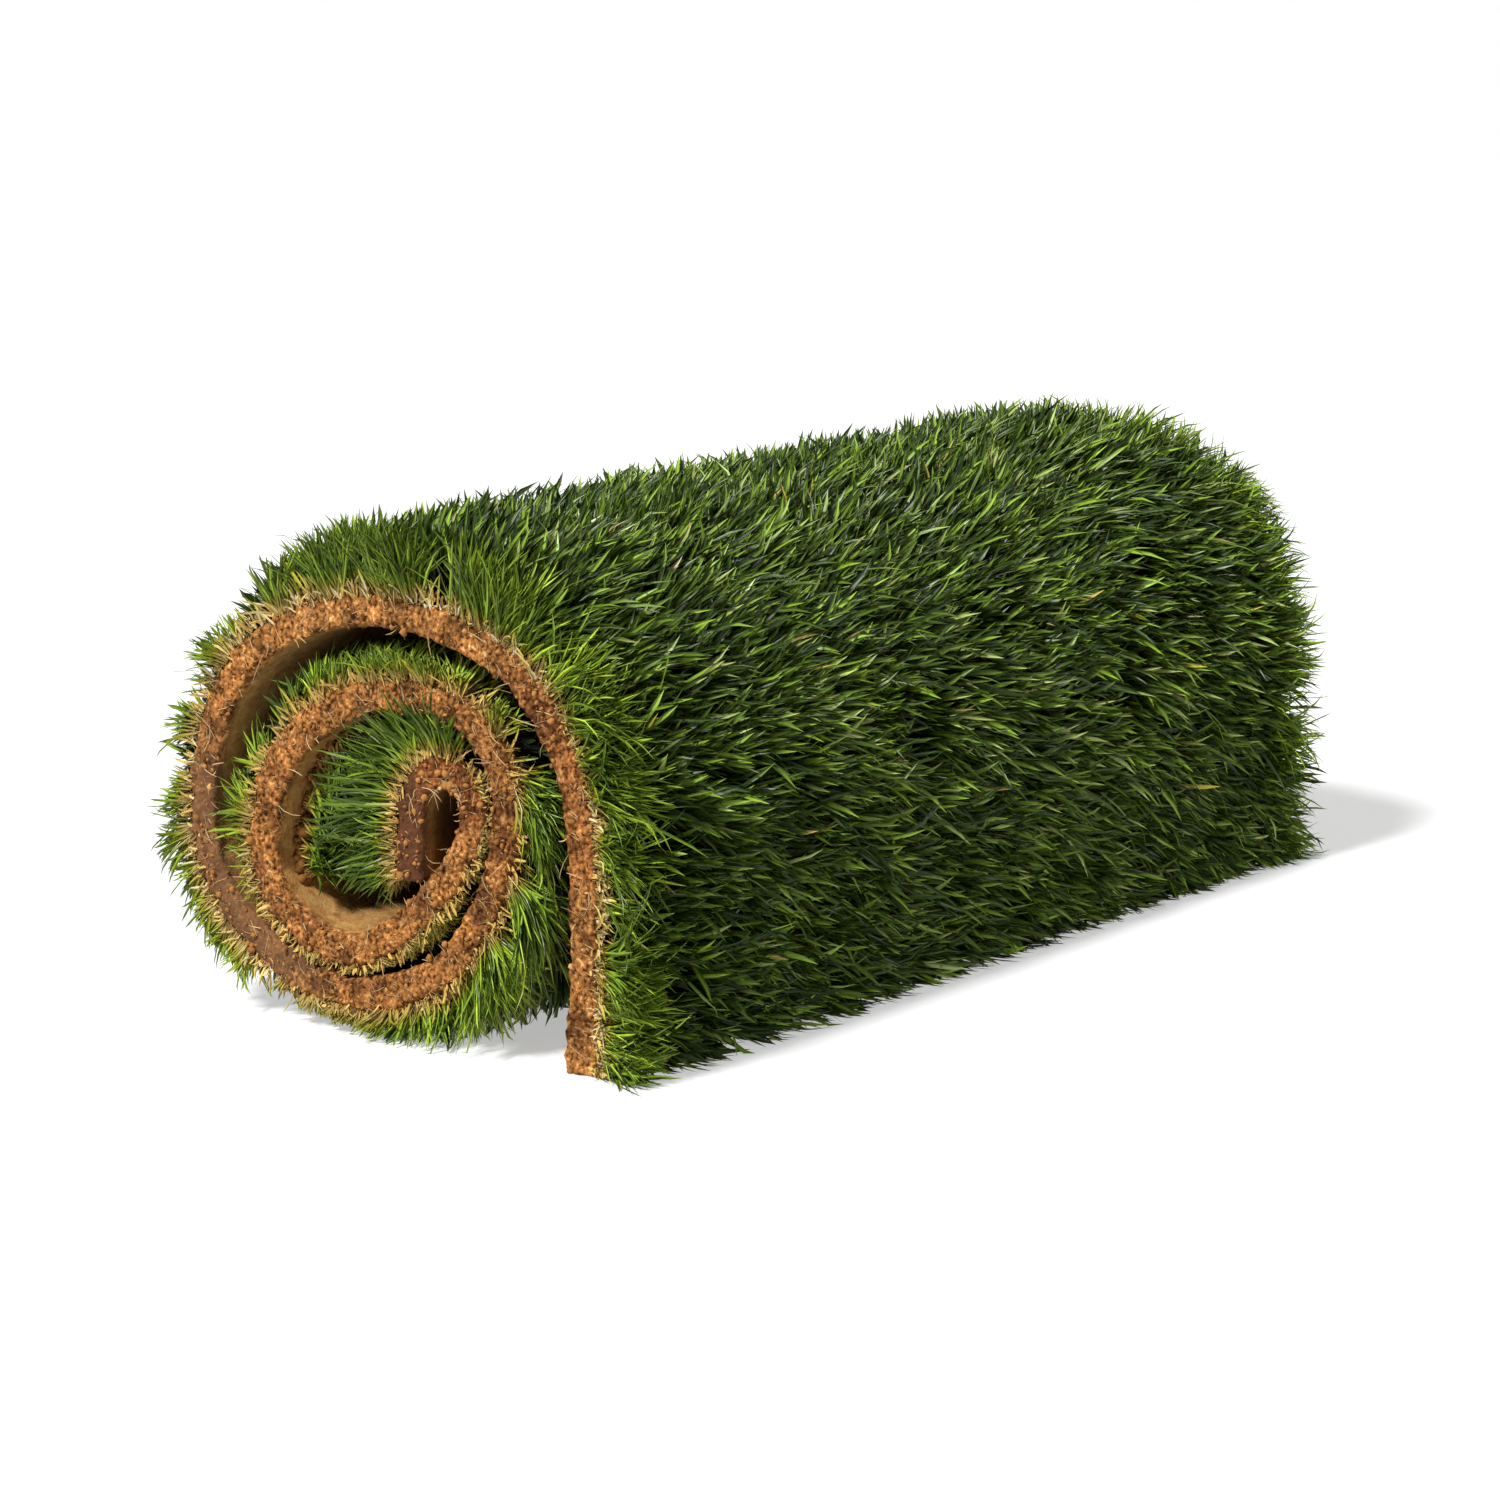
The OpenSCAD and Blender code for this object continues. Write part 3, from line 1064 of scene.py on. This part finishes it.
class TURF_OT_pocket(bpy.types.Operator):
    """Fill the pocket beside the hook: long blades from the hook, and a torn clump on the wall"""

    bl_idname = "turf.pocket"
    bl_label = "Pocket"
    bl_options = {"REGISTER", "UNDO"}

    def execute(self, context):
        soil, grass = context.scene.turf_soil, context.scene.turf_grass
        rng = np.random.default_rng(401)
        blades, clumps = [], []
        for end in ENDS:
            blades.append(pocket_blades(grass, rng, HOOK_BLADES, (HOOK_START, STRIP_L), end, 0, 1))
            blades.append(pocket_blades(grass, rng, CLUMP_BLADES, CLUMP, end, -SOIL_T - 3 * MM, -1))
            clumps.append(crumbs(rng, CLUMP_CRUMBS, end, wall=CLUMP, depth=30 * MM, large=1.7))
        add_painted("blades_pocket", blades, grass_material(grass), "grass_sward")
        add_painted("torn_clump", clumps, crumb_material(soil), "soil_mat")
        return {"FINISHED"}


def direction(turn, rise):
    """Unit vector away from the roll, turned round it from the near cut end, and raised."""
    return Vector((sin(turn) * cos(rise), -cos(turn) * cos(rise), sin(rise)))


class TURF_OT_stage(bpy.types.Operator):
    """Set up the camera, the pale floor and the soft studio light"""

    bl_idname = "turf.stage"
    bl_label = "Stage"
    bl_options = {"REGISTER", "UNDO"}

    def execute(self, context):
        scene = context.scene
        stage = scene.turf_stage
        self.add_camera(scene, stage)
        self.add_floor(scene, stage)
        # Each light's name, turn, rise, strength and blur
        for name, turn, rise, strength, blur in (
            ("key_light", stage.key_turn, stage.key_rise, 4.2, radians(10)),
            ("fill_light", radians(80), radians(30), 0.78, radians(30)),
            ("back_light", radians(-135), radians(28), 1.0, radians(45)),
        ):
            lamp = bpy.data.lights.new(name, "SUN")
            lamp.energy = strength
            lamp.angle = blur
            light = bpy.data.objects.new(name, lamp)
            towards = direction(turn, rise)
            light.location = towards * 3
            light.rotation_euler = (-towards).to_track_quat("-Z", "Y").to_euler()
            scene.collection.objects.link(light)
        self.add_world(scene)
        scene.view_settings.view_transform = "Standard"
        return {"FINISHED"}

    def add_camera(self, scene, stage):
        """The camera looks at AIM from its own turn, rise and distance, and is held level."""
        back = direction(stage.camera_turn, stage.camera_rise)
        right = Vector((cos(stage.camera_turn), sin(stage.camera_turn), 0))
        pose = Matrix((right, back.cross(right), back)).transposed().to_4x4()
        pose.translation = AIM + back * stage.camera_distance
        lens = bpy.data.cameras.new("camera")
        lens.lens = stage.lens
        lens.clip_end = 50
        camera = bpy.data.objects.new("camera", lens)
        camera.matrix_world = pose
        scene.collection.objects.link(camera)
        scene.camera = camera

    def add_floor(self, scene, stage):
        """A pale floor that glows a little, so that it stays white up to its edge."""
        corners = [(x * FLOOR_HALF, y * FLOOR_HALF, 0) for x, y in ((-1, -1), (1, -1), (1, 1), (-1, 1))]
        mesh = bpy.data.meshes.new("floor")
        mesh.from_pydata(corners, [], [(0, 1, 2, 3)])
        pale = Shader("pale_floor", roughness=1.0, specular=0.0)
        full = np.array(stage.floor_colour)
        tone = pale.ramp(pale.noise(0.4), (0.0, full * 0.97), (1.0, full))
        pale.plug(tone, pale.surface.inputs["Base Color"])
        pale.plug((*WHITE, 1), pale.surface.inputs["Emission Color"])
        pale.plug(0.45, pale.surface.inputs["Emission Strength"])
        mesh.materials.append(pale.material)
        floor = bpy.data.objects.new("floor", mesh)
        scene.collection.objects.link(floor)

    def add_world(self, scene):
        """A faint white sky that lights the roll, and a full white one that the camera sees."""
        world = bpy.data.worlds.new("studio")
        world.use_nodes = True
        tree = world.node_tree
        sky = tree.nodes["Background"]
        white = tree.nodes.new("ShaderNodeBackground")
        for node, strength in ((sky, 0.13), (white, 1.0)):
            node.inputs["Color"].default_value = (*WHITE, 1)
            node.inputs["Strength"].default_value = strength
        seen = tree.nodes.new("ShaderNodeLightPath")
        both = tree.nodes.new("ShaderNodeMixShader")
        tree.links.new(seen.outputs["Is Camera Ray"], both.inputs[0])
        tree.links.new(sky.outputs[0], both.inputs[1])
        tree.links.new(white.outputs[0], both.inputs[2])
        tree.links.new(both.outputs[0], tree.nodes["World Output"].inputs["Surface"])
        scene.world = world


class TURF_PT_panel(bpy.types.Panel):
    """The roll's steps and settings"""

    bl_idname = "TURF_PT_panel"
    bl_label = "Turf"
    bl_space_type = "VIEW_3D"
    bl_region_type = "UI"
    bl_category = "Turf"

    def draw(self, context):
        for step in STEPS:
            self.layout.operator(step.bl_idname)
        for group in (context.scene.turf_soil, context.scene.turf_grass, context.scene.turf_stage):
            for key in group.__annotations__:
                self.layout.prop(group, key)


GROUPS = (
    ("turf_soil", TurfSoilSettings),
    ("turf_grass", TurfGrassSettings),
    ("turf_stage", TurfStageSettings),
)
STEPS = (
    TURF_OT_stage,
    TURF_OT_soil_mat,
    TURF_OT_soil_trim,
    TURF_OT_stems,
    TURF_OT_outer_sward,
    TURF_OT_inner_sward,
    TURF_OT_pocket,
)


def register():
    for key, group in GROUPS:
        bpy.utils.register_class(group)
        setattr(bpy.types.Scene, key, PointerProperty(type=group))
    for step in (*STEPS, TURF_PT_panel):
        bpy.utils.register_class(step)


def unregister():
    for step in (TURF_PT_panel, *STEPS[::-1]):
        bpy.utils.unregister_class(step)
    for key, group in GROUPS[::-1]:
        delattr(bpy.types.Scene, key)
        bpy.utils.unregister_class(group)


def main():
    register()
    bpy.ops.turf.stage()
    bpy.ops.turf.soil_mat()
    bpy.ops.turf.soil_trim()
    bpy.ops.turf.stems()
    bpy.ops.turf.outer_sward()
    bpy.ops.turf.inner_sward()
    bpy.ops.turf.pocket()


if __name__ == "__main__":
    main()
